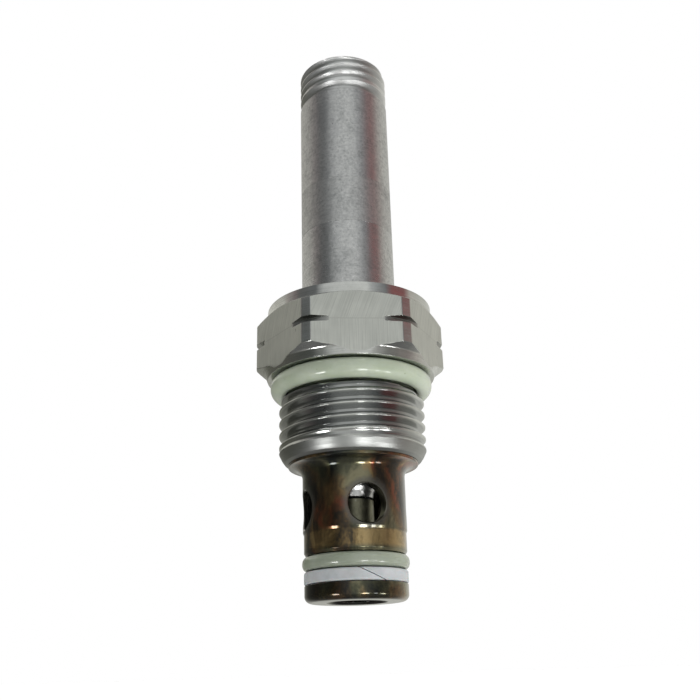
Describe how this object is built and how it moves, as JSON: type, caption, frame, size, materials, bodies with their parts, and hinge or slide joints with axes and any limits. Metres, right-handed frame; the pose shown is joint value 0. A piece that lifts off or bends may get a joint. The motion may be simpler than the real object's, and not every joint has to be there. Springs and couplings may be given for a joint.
{
  "type": "cartridge valve",
  "caption": "Screw-in solenoid cartridge valve: hex body with threaded shank, ported nose sleeve with seals, and coil tube with threaded end. Armature and poppet slide inside.",
  "frame": {"origin": "centre of the nose end face, on the valve's axis", "axes": "+Z along the valve's axis, from the nose towards the coil tube; +X across, with a pair of hexagon corners about 5 degrees from it"},
  "size_m": [0.0248, 0.023, 0.0763],
  "materials": {
    "zinc_plated_steel": "satin zinc plate over milled and turned steel",
    "tube_steel": "fine turned satin, lightly pitted",
    "tempered_steel": "oily dark brown heat-treatment colours, glossy",
    "ground_steel": "ground, bright",
    "spring_steel": "drawn wire",
    "bronze": "turned, dull",
    "seal_rubber": "pale green polyurethane, smooth and slightly glossy",
    "ptfe": "white PTFE, waxy"
  },
  "bodies": {
    "valve_body": {"hex_adapter": "zinc_plated_steel", "cage": "tempered_steel", "cage_lock_ring": "spring_steel", "cage_seal": "seal_rubber", "spring_retainer": "ground_steel", "poppet_spring": "spring_steel", "guide_tube": "tube_steel", "tube_seal": "seal_rubber", "nonmagnetic_ring": "tube_steel", "pole_piece": "tube_steel", "residual_shim": "bronze", "return_spring": "spring_steel", "adapter_o_ring": "seal_rubber", "nose_o_ring": "seal_rubber", "nose_backup_ring": "ptfe"},
    "armature": {"armature": "ground_steel", "pilot_pin": "ground_steel", "armature_cross_pin": "spring_steel"},
    "poppet": {"main_poppet": "ground_steel", "pilot_seat": "bronze"}
  },
  "joints": [
    {"name": "armature_lift", "type": "slide", "parent": "valve_body", "child": "armature", "axis": [0, 0, 1], "range_m": [0, 0.0015], "stiffness_N_per_m": 800, "springref_m": -0.004, "deforming": ["return_spring"]},
    {"name": "poppet_lift", "type": "slide", "parent": "valve_body", "child": "poppet", "axis": [0, 0, 1], "range_m": [0, 0.0011], "stiffness_N_per_m": 120, "springref_m": -0.004, "deforming": ["poppet_spring"]}
  ],
  "couplings": [
    {"joint": "poppet_lift", "follows": "armature_lift", "ratio": 0.73}
  ]
}
